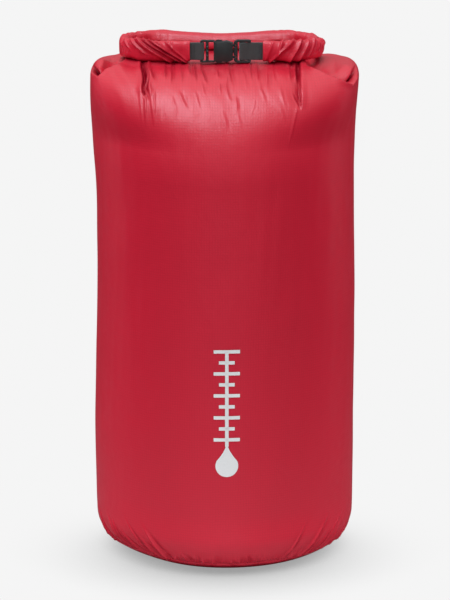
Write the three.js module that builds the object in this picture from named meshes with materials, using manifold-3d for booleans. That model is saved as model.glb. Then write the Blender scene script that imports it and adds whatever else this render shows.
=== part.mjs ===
// A 35 litre roll-top dry bag, filled out and closed: the mouth is rolled down, the ends of the roll are
// brought round to the front and clipped together with a 20 mm side-release buckle, which makes a carry loop.
// Millimetres, +Z up. The origin is the centre of the base on the floor, and the buckle faces -Y.
import * as THREE from "three";
import { mergeVertices } from "three/addons/utils/BufferGeometryUtils.js";
import Module from "manifold-3d";

const wasm = await Module();
wasm.setup();

// Driving dimensions.
const GAP = 0.3; // between pieces that touch
const WALL = 1.8; // stands in for coated cloth
const BODY_R = 150; // the filled tube
const BASE_R = 148.4; // a little narrower where it stands
const SHOULDER_R = 153.6; // the tube's widest ring, just under the shoulder
const BASE_EDGE_R = 42; // how the cloth rounds into the base
const BASE_FLAT_R = BASE_R - BASE_EDGE_R; // the flat part that the bag stands on
const BASE_SEAM_ANGLE = -0.8; // where the base is sewn to the tube; the edge's bottom is at -PI/2
const SHOULDER_EDGE_R = 22;
const TOP_Z = 572.5; // the crown of the bag, under the roll
const LEAN_Z = 450; // above this, the front and back lean in towards the roll
const CROWN_FRONT = 52; // how far the crown still reaches at the top, to the front and to the back
const CROWN_REAR = 62;
const CROWN_SQUARENESS = 1.5; // added to a circle's exponent of 2, at the top
const AROUND = 48; // facets round the body
const SEAM_TOP_Z = 536; // where the tube's seam goes into the pleats

const ROLL_T = 13; // the rolled collar's thickness, across its flat strip
const ROLL_H = 24; // its height
const ROLL_Z = TOP_Z + 15.7; // its middle
const LOOP_X = -4; // the loop's middle
const LOOP_HALF_RUN = 68.6; // half the straight rear run
const BEND_R = 42; // the collar's turn at each end
const REAR_Y = 38; // the rear run, which is also the line that the loop lifts about
const FRONT_Y = REAR_Y - 2 * BEND_R; // the line of the webbing and the buckle
const LEFT_END_X = -39.5; // where the collar stops and the webbing starts
const RIGHT_END_X = 43;

const WEB_W = 20; // webbing
const WEB_T = 1.3;
const STRIP_W = 19; // the stiffening strip in the roll
const STRIP_T = 1.2;
const CORE_H = 21; // the space in the roll for strip and webbing
const CORE_T = 4.4;

const BUCKLE_H = 25.6; // across the rails
const SHELL_T = 8.6; // the socket's thickness
const RAIL_T = 4.4;
const PRONG_T = 4.4;
const MOUTH_X = 9.3; // the socket's open end

// Colours and finishes.
const red = (roughness) => new THREE.MeshStandardMaterial({ color: 0xb01e30, roughness, metalness: 0 });
const bagCloth = red(0.42);
const rolledCloth = red(0.45);
const baseCloth = red(0.5);
const tape = new THREE.MeshStandardMaterial({ color: 0xc9c6c2, roughness: 0.35, metalness: 0 });
const stripPlastic = new THREE.MeshStandardMaterial({ color: 0x202022, roughness: 0.6, metalness: 0 });
const webbing = new THREE.MeshStandardMaterial({ color: 0x3c4040, roughness: 0.8, metalness: 0 });
const thread = new THREE.MeshStandardMaterial({ color: 0x18181a, roughness: 0.7, metalness: 0 });
const acetal = new THREE.MeshStandardMaterial({ color: 0x2a2c2c, roughness: 0.45, metalness: 0 });
const ink = new THREE.MeshStandardMaterial({ color: 0xe9e6e6, roughness: 0.6, metalness: 0 });

// Solids: three.js shapes in, manifold-3d joins and cuts, three.js geometry out.
function solid(geometry) {
  const bare = geometry.index ? geometry.toNonIndexed() : geometry.clone();
  bare.deleteAttribute("normal");
  bare.deleteAttribute("uv");
  const merged = mergeVertices(bare, 1e-4);
  return new wasm.Manifold(
    new wasm.Mesh({
      numProp: 3,
      vertProperties: merged.attributes.position.array,
      triVerts: new Uint32Array(merged.index.array),
    }),
  );
}

function geometryOf(manifold) {
  const { vertProperties, triVerts } = manifold.getMesh();
  const geometry = new THREE.BufferGeometry()
    .setAttribute("position", new THREE.BufferAttribute(vertProperties, 3))
    .setIndex(new THREE.BufferAttribute(triVerts, 1));
  geometry.computeVertexNormals();
  return geometry;
}

function box(x0, x1, y0, y1, z0, z1) {
  const geometry = new THREE.BoxGeometry(x1 - x0, y1 - y0, z1 - z0);
  return solid(geometry.translate((x0 + x1) / 2, (y0 + y1) / 2, (z0 + z1) / 2));
}

// A filled tube is round, but its mouth is flat, so its walls lean in and its plan squares off to the top.
function leanIn(point) {
  const rise = THREE.MathUtils.clamp((point.z - LEAN_Z) / (TOP_Z - LEAN_Z), 0, 1);
  const radius = Math.hypot(point.x, point.y);
  if (rise === 0 || radius === 0) return point;
  const crown = point.y < 0 ? CROWN_FRONT : CROWN_REAR;
  const depth = crown + (BODY_R - crown) * Math.sqrt(1 - rise * rise);
  const power = 2 + CROWN_SQUARENESS * THREE.MathUtils.smoothstep(rise, 0, 1);
  const [across, along] = [Math.abs(point.x) / radius, Math.abs(point.y) / radius];
  const squared = (across ** power + along ** power) ** (-1 / power);
  return point.set(point.x * squared, (point.y * squared * depth) / BODY_R, point.z);
}

// A profile of (radius, height) turned about Z, and then leaned in.
function turned(profile, divisions = 3) {
  const geometry = new THREE.LatheGeometry(profile.getPoints(divisions), AROUND).rotateX(Math.PI / 2);
  const place = geometry.attributes.position;
  const point = new THREE.Vector3();
  for (let i = 0; i < place.count; i++) {
    leanIn(point.fromBufferAttribute(place, i));
    place.setXYZ(i, point.x, point.y, point.z);
  }
  return solid(geometry);
}

// An outline in the XZ plane, with a thickness along Y about yMiddle.
function plate(shape, thickness, yMiddle, curveSegments = 6) {
  const geometry = new THREE.ExtrudeGeometry(shape, { depth: thickness, bevelEnabled: false, curveSegments });
  return solid(geometry.rotateX(Math.PI / 2).translate(0, yMiddle + thickness / 2, 0));
}

// An outline in the XY plane, with a height along Z about zMiddle.
function slab(shape, height, zMiddle, curveSegments = 6) {
  const geometry = new THREE.ExtrudeGeometry(shape, { depth: height, bevelEnabled: false, curveSegments });
  return solid(geometry.translate(0, 0, zMiddle - height / 2));
}

// A rectangle with rounded corners, centred on (x, y).
function roundedRectangle(width, height, radius, x = 0, y = 0) {
  const [w, h] = [width / 2 - radius, height / 2 - radius];
  const path = new THREE.Shape();
  path.absarc(x + w, y + h, radius, 0, Math.PI / 2);
  path.absarc(x - w, y + h, radius, Math.PI / 2, Math.PI);
  path.absarc(x - w, y - h, radius, Math.PI, 1.5 * Math.PI);
  path.absarc(x + w, y - h, radius, 1.5 * Math.PI, 2 * Math.PI);
  path.closePath();
  return path;
}

function polygon(...points) {
  return new THREE.Shape(points.map(([x, y]) => new THREE.Vector2(x, y)));
}

// The filled tube's profile above its seam with the base, drawn inside the cloth's outer face by inset.
function bodyProfile(inset, bottomZ) {
  const shoulderCentreR = SHOULDER_R - SHOULDER_EDGE_R;
  const shoulderCentreZ = TOP_Z - SHOULDER_EDGE_R - 3;
  const edgeR = BASE_EDGE_R - inset;
  const profile = new THREE.Path();
  profile.moveTo(0, bottomZ);
  profile.lineTo(BASE_FLAT_R + edgeR * Math.cos(BASE_SEAM_ANGLE), bottomZ);
  profile.absarc(BASE_FLAT_R, BASE_EDGE_R, edgeR, BASE_SEAM_ANGLE, 0);
  profile.lineTo(BODY_R - inset, 170);
  const rows = 9;
  for (let i = 0; i <= rows; i++) {
    const share = i / (rows + 1);
    const swell = (SHOULDER_R - BODY_R) * THREE.MathUtils.smoothstep(share, 0, 1);
    profile.lineTo(BODY_R + swell - inset, 400 + (shoulderCentreZ - 400) * share);
  }
  profile.absarc(shoulderCentreR, shoulderCentreZ, SHOULDER_EDGE_R - inset, 0, 1.3);
  profile.quadraticCurveTo(100, TOP_Z - inset, 70, TOP_Z - inset);
  profile.lineTo(0, TOP_Z - inset);
  return profile;
}

// Half the width and depth of the slit where the body panel runs up into the roll.
const NECK_HALF_X = LOOP_HALF_RUN - 3;
const NECK_HALF_Y = 6;

function bodyPanel() {
  const seamZ = BASE_EDGE_R * (1 + Math.sin(BASE_SEAM_ANGLE));
  const shell = turned(bodyProfile(0, seamZ)).subtract(turned(bodyProfile(WALL, seamZ - 4)));
  const neckTopZ = ROLL_Z - ROLL_H / 2 - GAP;
  const neckHeight = neckTopZ - (TOP_Z - 2 * WALL);
  const neck = (inset, extra) => {
    const [halfX, halfY] = [NECK_HALF_X - inset, NECK_HALF_Y - inset];
    const outline = roundedRectangle(2 * halfX, 2 * halfY, halfY - 0.1, LOOP_X, REAR_Y);
    return slab(outline, neckHeight + 2 * extra, neckTopZ - neckHeight / 2);
  };
  return shell.add(neck(0, 0)).subtract(neck(WALL, 4));
}

// A band of the rounded edge between two angles and two insets from its outer face.
function edgeBand(profile, outerInset, innerInset, startAngle, endAngle) {
  profile.absarc(BASE_FLAT_R, BASE_EDGE_R, BASE_EDGE_R - outerInset, startAngle, endAngle);
  profile.absarc(BASE_FLAT_R, BASE_EDGE_R, BASE_EDGE_R - innerInset, endAngle, startAngle, true);
}

// The base: a disc whose rim turns up to meet the tube's lower edge.
function basePanel() {
  const profile = new THREE.Path();
  profile.moveTo(0, 0);
  profile.lineTo(BASE_FLAT_R, 0);
  edgeBand(profile, 0, WALL, -Math.PI / 2, BASE_SEAM_ANGLE - 0.045);
  profile.lineTo(0, WALL);
  return turned(profile);
}

// The waterproof tape over the base seam, a thin ring inside the rounded edge.
function baseSeamTape() {
  const profile = new THREE.Path();
  const inset = WALL + GAP;
  const halfWidth = 0.21;
  edgeBand(profile, inset, inset + 0.6, BASE_SEAM_ANGLE - halfWidth, BASE_SEAM_ANGLE + halfWidth);
  profile.closePath();
  return turned(profile);
}

// A strip that runs up the middle of the back, between two insets from the cloth's outer face.
function rearStrip(width, outerInset, innerInset, z0, z1) {
  const ring = turned(bodyProfile(outerInset, 0)).subtract(turned(bodyProfile(innerInset, -4)));
  return ring.intersect(box(-width / 2, width / 2, 60, 200, z0, z1));
}

// The print on the front, wrapped on the tube: a drop under a scale of long and short bars.
function printedMark() {
  const [left, width, lowZ, highZ] = [-12.7, 30, 117, 265];
  const bars = 9;
  const barHeight = 4;
  const dropR = 13;
  const middle = left + width / 2;
  const dropZ = lowZ + dropR;
  const dropTopZ = dropZ + 2.2 * dropR;
  const pitch = (highZ - barHeight - dropTopZ) / (bars - 1);
  const depth = [-BODY_R - 20, -BODY_R + 20];
  const drop = new THREE.Shape();
  drop.moveTo(middle, dropTopZ);
  const [shoulderX, shoulderZ] = [dropR * Math.cos(0.5), dropR * Math.sin(0.5)];
  drop.quadraticCurveTo(middle + 3, dropZ + 1.3 * dropR, middle + shoulderX, dropZ + shoulderZ);
  drop.absarc(middle, dropZ, dropR, 0.5, Math.PI - 0.5, true);
  drop.quadraticCurveTo(middle - 3, dropZ + 1.3 * dropR, middle, dropTopZ);
  let flat = plate(drop, depth[1] - depth[0], -BODY_R);
  flat = flat.add(box(middle - barHeight / 2, middle + barHeight / 2, ...depth, dropTopZ - 6, highZ));
  for (let i = 0; i < bars; i++) {
    const half = (i % 2 ? 0.6 : 1) * (width / 2);
    const barTopZ = highZ - i * pitch;
    flat = flat.add(box(middle - half, middle + half, ...depth, barTopZ - barHeight, barTopZ));
  }
  const skin = turned(bodyProfile(-GAP - 0.4, 10)).subtract(turned(bodyProfile(-GAP, 5)));
  return skin.intersect(flat);
}

// The collar's line round one end, from one angle of the half turn to another and then straight on for a run.
// Angle 0 is at the rear and PI at the front. side is +1 right, -1 left.
class Turn extends THREE.Curve {
  constructor(side, startAngle, endAngle, straight = 0) {
    super();
    Object.assign(this, { side, startAngle, endAngle, straight });
    this.arc = (endAngle - startAngle) * BEND_R;
  }
  getPoint(t, target = new THREE.Vector3()) {
    const along = t * (this.arc + this.straight);
    const angle = Math.min(this.startAngle + along / BEND_R, this.endAngle);
    const centreX = LOOP_X + this.side * (LOOP_HALF_RUN + GAP);
    const x = centreX + this.side * (BEND_R * Math.sin(angle) - Math.max(0, along - this.arc));
    return target.set(x, REAR_Y - BEND_R * (1 - Math.cos(angle)), ROLL_Z);
  }
}

// The roll's upright section. A sweep along a level line lays an outline's first axis upright.
function rollSection() {
  const outline = roundedRectangle(ROLL_H, ROLL_T, ROLL_T / 2 - 0.05);
  outline.holes.push(roundedRectangle(CORE_H, CORE_T, 1.2));
  return outline;
}

const swept = (shape, extrudePath, steps) =>
  solid(new THREE.ExtrudeGeometry(shape, { steps, extrudePath, curveSegments: 2 }));

// A straight run of a section along X.
function run(shape, x0, x1, y) {
  const settings = { depth: x1 - x0, bevelEnabled: false, curveSegments: 2 };
  const geometry = new THREE.ExtrudeGeometry(shape, settings);
  return solid(geometry.rotateY(Math.PI / 2).translate(x0, y, ROLL_Z));
}

// A doubled strap, sewn flat from tailX and open as a loop round a bar at barX.
function strap(tailX, barX, barHalf) {
  const side = Math.sign(tailX - barX);
  const holeR = barHalf + GAP;
  const outerR = holeR + WEB_T;
  const sewnX = barX + side * (outerR + 2.4);
  const half = WEB_T + 0.1;
  const outline = polygon(
    [tailX, FRONT_Y - half],
    [sewnX, FRONT_Y - half],
    [sewnX, FRONT_Y + half],
    [tailX, FRONT_Y + half],
  );
  const ring = new THREE.Shape();
  ring.absarc(barX, FRONT_Y, outerR, 0, 2 * Math.PI);
  const throat = polygon(
    [barX, FRONT_Y - outerR],
    [sewnX, FRONT_Y - half],
    [sewnX, FRONT_Y + half],
    [barX, FRONT_Y + outerR],
  );
  const eye = new THREE.Shape();
  eye.absarc(barX, FRONT_Y, holeR, 0, 2 * Math.PI);
  const web = (shape) => slab(shape, WEB_W, ROLL_Z, 12);
  return web(outline).add(web(throat)).add(web(ring)).subtract(slab(eye, WEB_W + 2, ROLL_Z, 12));
}

// A zigzag bar tack across the strap, standing on its front face.
function barTack(x) {
  const [teeth, halfWidth, halfHeight] = [8, 1.1, 8.5];
  const left = [];
  const right = [];
  for (let i = 0; i <= 2 * teeth; i++) {
    const z = -halfHeight + (i * halfHeight) / teeth;
    const shift = i % 2 ? 0.5 : -0.5;
    left.push([x - halfWidth + shift, ROLL_Z + z]);
    right.unshift([x + halfWidth + shift, ROLL_Z + z]);
  }
  const face = FRONT_Y - WEB_T - 0.1 - GAP;
  return plate(polygon(...left, ...right), 0.5, face - 0.25);
}

const zBoth = (half) => [ROLL_Z - half, ROLL_Z + half];

// The buckle's socket: a webbing bar, a toothed bar and an open slot, then a shell open at both sides.
const SOCKET_BAR_X = -26.3;
const SOCKET_START_X = -28.2;
const SHELL_X = -12.6;
const WINDOW_X = [-11.2, 2]; // the open side, through which a prong's pad stands out
const WALL_INNER = [11.3, 8.8]; // the side wall's inner face, from the window to the mouth
const SIDE_WALL = 0.9;

function buckleSocket() {
  const frameEndX = SHELL_X + 2;
  const frameMiddle = (SOCKET_START_X + frameEndX) / 2;
  const frame = roundedRectangle(frameEndX - SOCKET_START_X, BUCKLE_H, 2.4, frameMiddle, ROLL_Z);
  const side = (s) => [
    [SHELL_X, ROLL_Z + s * 11.4],
    [-2, ROLL_Z + s * 11.4],
    [WINDOW_X[1], ROLL_Z + s * (WALL_INNER[0] + SIDE_WALL)],
    [MOUTH_X, ROLL_Z + s * (WALL_INNER[1] + SIDE_WALL)],
  ];
  const shell = polygon(...side(-1), ...side(1).reverse());
  const barHalf = 1.5;
  const slotHalf = 10.8;
  const cavityT = PRONG_T + 2 * GAP;
  const cavity = [FRONT_Y - cavityT / 2, FRONT_Y + cavityT / 2];
  const through = [FRONT_Y - 12, FRONT_Y + 12];
  const strapEndX = -21.6;
  let made = plate(frame, RAIL_T, FRONT_Y).add(plate(shell, SHELL_T, FRONT_Y));
  // The webbing bar, between two slots and thinned so that the strap's loop clears the rails' ends.
  made = made.subtract(box(SOCKET_BAR_X + barHalf, strapEndX, ...through, ...zBoth(slotHalf)));
  made = made.subtract(box(-30, SOCKET_BAR_X - barHalf, ...through, ...zBoth(slotHalf)));
  made = made.subtract(box(-30, strapEndX, through[0], FRONT_Y - barHalf, ...zBoth(slotHalf)));
  made = made.subtract(box(-30, strapEndX, FRONT_Y + barHalf, through[1], ...zBoth(slotHalf)));
  // The spare slot.
  made = made.subtract(box(-18.2, SHELL_X, ...through, ...zBoth(10.6)));
  // The prongs' space: two side windows, then a passage that narrows to the mouth.
  made = made.subtract(box(...WINDOW_X, ...cavity, ...zBoth(15)));
  const passage = polygon(
    [0, ROLL_Z - WALL_INNER[0]],
    [WINDOW_X[1], ROLL_Z - WALL_INNER[0]],
    [MOUTH_X + 0.1, ROLL_Z - WALL_INNER[1]],
    [MOUTH_X + 0.1, ROLL_Z + WALL_INNER[1]],
    [WINDOW_X[1], ROLL_Z + WALL_INNER[0]],
    [0, ROLL_Z + WALL_INNER[0]],
  );
  made = made.subtract(plate(passage, cavityT, FRONT_Y));
  // Three teeth on the middle bar.
  for (const dz of [-5, 0, 5]) {
    const tooth = new THREE.CylinderGeometry(0.7, 1.3, 1.2, 8).rotateX(Math.PI / 2);
    made = made.add(solid(tooth.translate(-19.9, FRONT_Y - RAIL_T / 2 - 0.4, ROLL_Z + dz)));
  }
  return made;
}

// The buckle's plug: a frame with a webbing bar, and a tongue that runs up the socket between the prongs.
const PLUG_BAR_X = 19.1;
const TONGUE_END_X = -4;
const TONGUE_HALF = 1.7;
const PRONG_PIVOT_X = 11;
const PRONG_PIVOT_DZ = 6.6;
const PRONG_ROOT_R = 1.5;

function bucklePlug() {
  const outline = new THREE.Shape();
  const railHalf = 13.2;
  const [startX, endX] = [9.9, 29.6];
  outline.moveTo(startX, ROLL_Z - 9.6);
  outline.quadraticCurveTo(11.5, ROLL_Z - railHalf, 15.5, ROLL_Z - railHalf);
  outline.lineTo(endX - 3, ROLL_Z - railHalf);
  outline.quadraticCurveTo(endX, ROLL_Z - railHalf, endX, ROLL_Z - railHalf + 3);
  outline.lineTo(endX, ROLL_Z + railHalf - 3);
  outline.quadraticCurveTo(endX, ROLL_Z + railHalf, endX - 3, ROLL_Z + railHalf);
  outline.lineTo(15.5, ROLL_Z + railHalf);
  outline.quadraticCurveTo(11.5, ROLL_Z + railHalf, startX, ROLL_Z + 9.6);
  outline.closePath();
  const [yFront, yRear] = [FRONT_Y - 12, FRONT_Y + 12];
  const barHalf = 1.5;
  const slotHalf = 10.6;
  let made = plate(outline, RAIL_T, FRONT_Y);
  made = made.subtract(box(14.6, PLUG_BAR_X - barHalf, yFront, yRear, ...zBoth(slotHalf)));
  made = made.subtract(box(PLUG_BAR_X + barHalf, 40, yFront, yRear, ...zBoth(slotHalf)));
  made = made.subtract(box(14.6, 40, yFront, FRONT_Y - barHalf, ...zBoth(slotHalf)));
  made = made.subtract(box(14.6, 40, FRONT_Y + barHalf, yRear, ...zBoth(slotHalf)));
  // An outer bar behind the strap joins the rails' ends.
  const outerBarFront = FRONT_Y + WEB_T + 0.1 + GAP;
  made = made.add(box(26, endX, outerBarFront, outerBarFront + 2.2, ...zBoth(railHalf - 0.6)));
  // Tongue, and a round seat for each prong's root.
  made = made.add(box(TONGUE_END_X, startX + 1, FRONT_Y - 1.8, FRONT_Y + 1.8, ...zBoth(TONGUE_HALF)));
  const seatR = PRONG_ROOT_R + 0.4;
  for (const side of [-1, 1]) {
    const seatZ = ROLL_Z + side * PRONG_PIVOT_DZ;
    const seat = new THREE.CylinderGeometry(seatR, seatR, 12, 20);
    made = made.subtract(solid(seat.translate(PRONG_PIVOT_X, FRONT_Y, seatZ)));
    // The seat flares inwards, where the arm swings.
    const flare = polygon(
      [startX - 1, seatZ - side * 2.7],
      [PRONG_PIVOT_X, seatZ - side * seatR],
      [PRONG_PIVOT_X, seatZ],
      [startX - 1, seatZ],
    );
    made = made.subtract(plate(flare, 12, FRONT_Y));
  }
  return made;
}

// One prong: side is +1 for the upper, -1 for the lower. Its pad stands out of the socket to be pinched.
function prong(side) {
  const halfArm = 1.1;
  const [inner, outer] = [PRONG_PIVOT_DZ - halfArm, PRONG_PIVOT_DZ + halfArm];
  const padInner = 10;
  const padOuter = 13;
  const corners = [
    [PRONG_PIVOT_X, inner],
    [2, inner],
    [-5, padInner],
    [-10.6, padInner],
    [-10.6, padOuter - 1.4],
    [-9.2, padOuter],
    [-4, padOuter],
    [1.5, outer],
    [PRONG_PIVOT_X, outer],
  ];
  const points = corners.map(([x, z]) => [x, ROLL_Z + side * z]);
  const arm = plate(polygon(...points), PRONG_T, FRONT_Y);
  const root = new THREE.CylinderGeometry(PRONG_ROOT_R, PRONG_ROOT_R, PRONG_T, 20);
  return arm.add(solid(root.translate(PRONG_PIVOT_X, FRONT_Y, ROLL_Z + side * PRONG_PIVOT_DZ)));
}

const bag = new THREE.Group();

function add(name, manifold, material, parent = bag) {
  const mesh = new THREE.Mesh(geometryOf(manifold), material);
  mesh.name = name;
  parent.add(mesh);
}

const loopEnd = (side) => LOOP_X + side * LOOP_HALF_RUN;

// The bag itself.
add("body_panel", bodyPanel(), bagCloth);
add("base_panel", basePanel(), baseCloth);
add("base_seam_tape", baseSeamTape(), tape);
add("rear_seam_tape", rearStrip(20, WALL + GAP, WALL + GAP + 0.6, 22, SEAM_TOP_Z), tape);
add("rear_seam_lap", rearStrip(12, -GAP - 0.8, -GAP, 45, SEAM_TOP_Z), bagCloth);
add("printed_mark", printedMark(), ink);

// The rolled collar's rear run and the stiffening strip inside it.
add("collar_rear", run(rollSection(), loopEnd(-1), loopEnd(1), REAR_Y), rolledCloth);
const strip = polygon(
  [-STRIP_W / 2, -STRIP_T / 2],
  [STRIP_W / 2, -STRIP_T / 2],
  [STRIP_W / 2, STRIP_T / 2],
  [-STRIP_W / 2, STRIP_T / 2],
);
add("stiffener_rear", run(strip, loopEnd(-1) + 1, loopEnd(1) - 1, REAR_Y), stripPlastic);

// The carry loop: the collar's two ends, brought round to the front.
const carryLoop = new THREE.Group();
bag.add(carryLoop);
const [rear, side, front] = [0, Math.PI / 2, Math.PI];
const leftRun = LEFT_END_X - (loopEnd(-1) - GAP);
const rightRun = loopEnd(1) + GAP - RIGHT_END_X;
const stripInset = 12;
const leftTurn = new Turn(-1, rear, front, leftRun);
const leftStripTurn = new Turn(-1, rear, front, leftRun - stripInset);
add("collar_left", swept(rollSection(), leftTurn, 30), rolledCloth, carryLoop);
add("stiffener_left", swept(strip, leftStripTurn, 28), stripPlastic, carryLoop);
const rightTurn = new Turn(1, rear, side);
add("collar_right", swept(rollSection(), rightTurn, 12), rolledCloth, carryLoop);
add("stiffener_right", swept(strip, rightTurn, 12), stripPlastic, carryLoop);
const endStart = side + GAP / BEND_R;
const endTurn = new Turn(1, endStart, front, rightRun);
const endStripTurn = new Turn(1, endStart, front, rightRun - stripInset);
add("collar_right_end", swept(rollSection(), endTurn, 18), rolledCloth, carryLoop);
add("stiffener_right_end", swept(strip, endStripTurn, 16), stripPlastic, carryLoop);
add("webbing_left", strap(LEFT_END_X - 9, SOCKET_BAR_X, 2.25), webbing, carryLoop);
add("bar_tack_left", barTack(LEFT_END_X + 3.2), thread, carryLoop);
add("buckle_socket", buckleSocket(), acetal, carryLoop);

// The half that leaves when the buckle is undone.
const plugHalf = new THREE.Group();
carryLoop.add(plugHalf);
add("webbing_right", strap(RIGHT_END_X + 9, PLUG_BAR_X, 2.25), webbing, plugHalf);
add("bar_tack_right", barTack(RIGHT_END_X - 3.2), thread, plugHalf);
add("buckle_plug", bucklePlug(), acetal, plugHalf);
add("prong_upper", prong(1), acetal, plugHalf);
add("prong_lower", prong(-1), acetal, plugHalf);

export default bag;
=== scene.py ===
"""A roll-top dry bag of crimson ripstop, filled out, rolled down and clipped with a side-release buckle.

Lengths are millimetres, and MM turns them into Blender's metres; only the camera, the lights and the shading
of the floor are set in metres. The bag stands on z = 0 and its buckle faces -Y.
"""
import math

import bmesh
import bpy
import numpy as np
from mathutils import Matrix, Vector

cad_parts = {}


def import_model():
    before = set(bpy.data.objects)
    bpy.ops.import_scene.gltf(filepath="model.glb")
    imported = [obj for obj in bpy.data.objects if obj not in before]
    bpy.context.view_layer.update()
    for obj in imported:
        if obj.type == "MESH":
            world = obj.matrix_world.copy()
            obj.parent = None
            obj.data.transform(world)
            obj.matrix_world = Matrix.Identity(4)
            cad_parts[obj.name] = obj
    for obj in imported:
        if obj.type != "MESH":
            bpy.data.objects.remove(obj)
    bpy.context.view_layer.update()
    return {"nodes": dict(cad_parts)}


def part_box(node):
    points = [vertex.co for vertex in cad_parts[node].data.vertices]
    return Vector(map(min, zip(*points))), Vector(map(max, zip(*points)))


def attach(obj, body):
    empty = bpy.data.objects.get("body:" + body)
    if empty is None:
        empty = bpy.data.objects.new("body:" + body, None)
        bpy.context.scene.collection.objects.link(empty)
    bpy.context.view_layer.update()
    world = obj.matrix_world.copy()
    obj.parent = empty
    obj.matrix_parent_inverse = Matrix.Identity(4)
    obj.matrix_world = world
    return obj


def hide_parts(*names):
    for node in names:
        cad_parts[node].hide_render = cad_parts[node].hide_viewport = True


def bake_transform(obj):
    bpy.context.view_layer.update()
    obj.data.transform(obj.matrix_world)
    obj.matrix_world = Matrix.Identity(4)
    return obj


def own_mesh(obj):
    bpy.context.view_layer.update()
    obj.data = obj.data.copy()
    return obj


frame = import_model()
MM = 0.001
QUARTER = math.pi / 2
FRONT, BACK = -QUARTER, QUARTER  # angles round the bag, counted from its right side
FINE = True


def box_mm(name):
    """The lowest and highest corner of a CAD node."""
    low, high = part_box(name)
    return np.array(low) / MM, np.array(high) / MM


# ---------------- driving dimensions, from the frame
BODY_HIGH = box_mm("body_panel")[1]
REAR_LOW, REAR_HIGH = box_mm("collar_rear")
LEFT_LOW, LEFT_HIGH = box_mm("collar_left")
RIGHT_LOW = box_mm("collar_right_end")[0]
PRINT_LOW, PRINT_HIGH = box_mm("printed_mark")
SEAM_LOW, SEAM_HIGH = box_mm("rear_seam_lap")

SHOULDER_R = BODY_HIGH[0]
BODY_R = SHOULDER_R - 3.6
BASE_R = BODY_R - 1.6
TOP_Z = BODY_HIGH[2] - 3.4
LEAN_Z = TOP_Z - 122  # above this, the front and back lean in
CROWN_FRONT, CROWN_REAR = 52, 62  # how far the crown reaches before and behind the middle
CROWN_SQUARENESS = 1.5
CROWN_LEVEL_R = 60  # within this radius the crown is level
BASE_EDGE_R = 42
BASE_FLAT_R = BASE_R - BASE_EDGE_R
BASE_CREASE_R = 140
BASE_PUSH = 0.045  # the load pushes the base's front forward by this share
BASE_SEAM_ANGLE = -0.8  # on the rounded edge, whose bottom is at -pi/2
SHOULDER_EDGE_R = 15
SHOULDER_Z = TOP_Z - SHOULDER_EDGE_R - 1.5

ROLL_H = REAR_HIGH[2] - REAR_LOW[2]
ROLL_T = REAR_HIGH[1] - REAR_LOW[1]
ROLL_Z = (REAR_HIGH[2] + REAR_LOW[2]) / 2
REAR_Y = (REAR_HIGH[1] + REAR_LOW[1]) / 2
FRONT_Y = LEFT_LOW[1] + ROLL_T / 2
MIDDLE_Y = (REAR_Y + FRONT_Y) / 2
BEND_R = (REAR_Y - FRONT_Y) / 2
LOOP_X = (REAR_HIGH[0] + REAR_LOW[0]) / 2
HALF_RUN = (REAR_HIGH[0] - REAR_LOW[0]) / 2
LEFT_END_X = LEFT_HIGH[0]
RIGHT_END_X = RIGHT_LOW[0]


# ---------------- small tools
def smooth(x, low, high):
    """Rises smoothly from 0 at low to 1 at high."""
    t = np.clip((np.asarray(x, float) - low) / (high - low), 0, 1)
    return t * t * (3 - 2 * t)


def between(x, start, full, fall, end):
    """Rises from 0 at start to 1 at full, and falls again from fall to 0 at end."""
    return smooth(x, start, full) * (1 - smooth(x, fall, end))


def bump(x, width):
    return np.exp(-((x / width) ** 2))


def normalise(vectors):
    return vectors / np.maximum(np.linalg.norm(vectors, axis=-1, keepdims=True), 1e-9)


def turn_from(angle, start):
    """The turn from one angle to another, between -pi and pi."""
    return (angle - start + math.pi) % (2 * math.pi) - math.pi


def squared_off(cos, sin, power):
    """How far out a squared circle lies in the direction (cos, sin); with a power of 2 it is round."""
    return (np.abs(cos) ** power + np.abs(sin) ** power) ** (-1 / power)


def length_along(points):
    """The distance along a line of points to each of them."""
    return np.concatenate([[0], np.cumsum(np.linalg.norm(np.diff(points, axis=0), axis=1))])


def new_object(name, data):
    made = bpy.data.objects.new(name, data)
    bpy.context.scene.collection.objects.link(made)
    return made


def make_mesh(name, points, faces, uv=None, material=None, smooth_shading=True):
    """points in millimetres; uv, also in millimetres, lies on the cloth and is kept per corner."""
    mesh = bpy.data.meshes.new(name)
    mesh.from_pydata((np.asarray(points, float) * MM).tolist(), [], faces)
    if uv is not None:
        layer = mesh.uv_layers.new(name="cloth")
        corners = np.zeros(len(mesh.loops), np.int64)
        mesh.loops.foreach_get("vertex_index", corners)
        layer.data.foreach_set("uv", np.asarray(uv, np.float32)[corners].ravel())
    mesh.validate()
    mesh.polygons.foreach_set("use_smooth", [smooth_shading] * len(mesh.polygons))
    mesh.update()
    if material:
        mesh.materials.append(material)
    return new_object(name, mesh)


def grid_faces(rows, columns, closed=False):
    """Four-sided faces between the points of a grid; a closed one joins its last column to its first."""
    below = np.arange(rows - 1)[:, None] * columns
    above = below + columns
    here = np.arange(columns if closed else columns - 1)[None, :]
    after = (here + 1) % columns
    faces = np.stack([below + here, below + after, above + after, above + here], -1)
    return faces.reshape(-1, 4).tolist()


def tube_faces(rows, columns):
    """The faces of a tube with both its ends closed; each row of points goes round it."""
    ends = [list(range(columns)), [rows * columns - 1 - k for k in range(columns)]]
    return grid_faces(rows, columns, closed=True) + ends


def merged(name, grids, material):
    """Several grids of points as one mesh."""
    points, faces = [], []
    for grid in grids:
        rows, columns = grid.shape[:2]
        faces += [[corner + len(points) for corner in face] for face in grid_faces(rows, columns)]
        points += grid.reshape(-1, 3).tolist()
    return make_mesh(name, points, faces, None, material)


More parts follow.
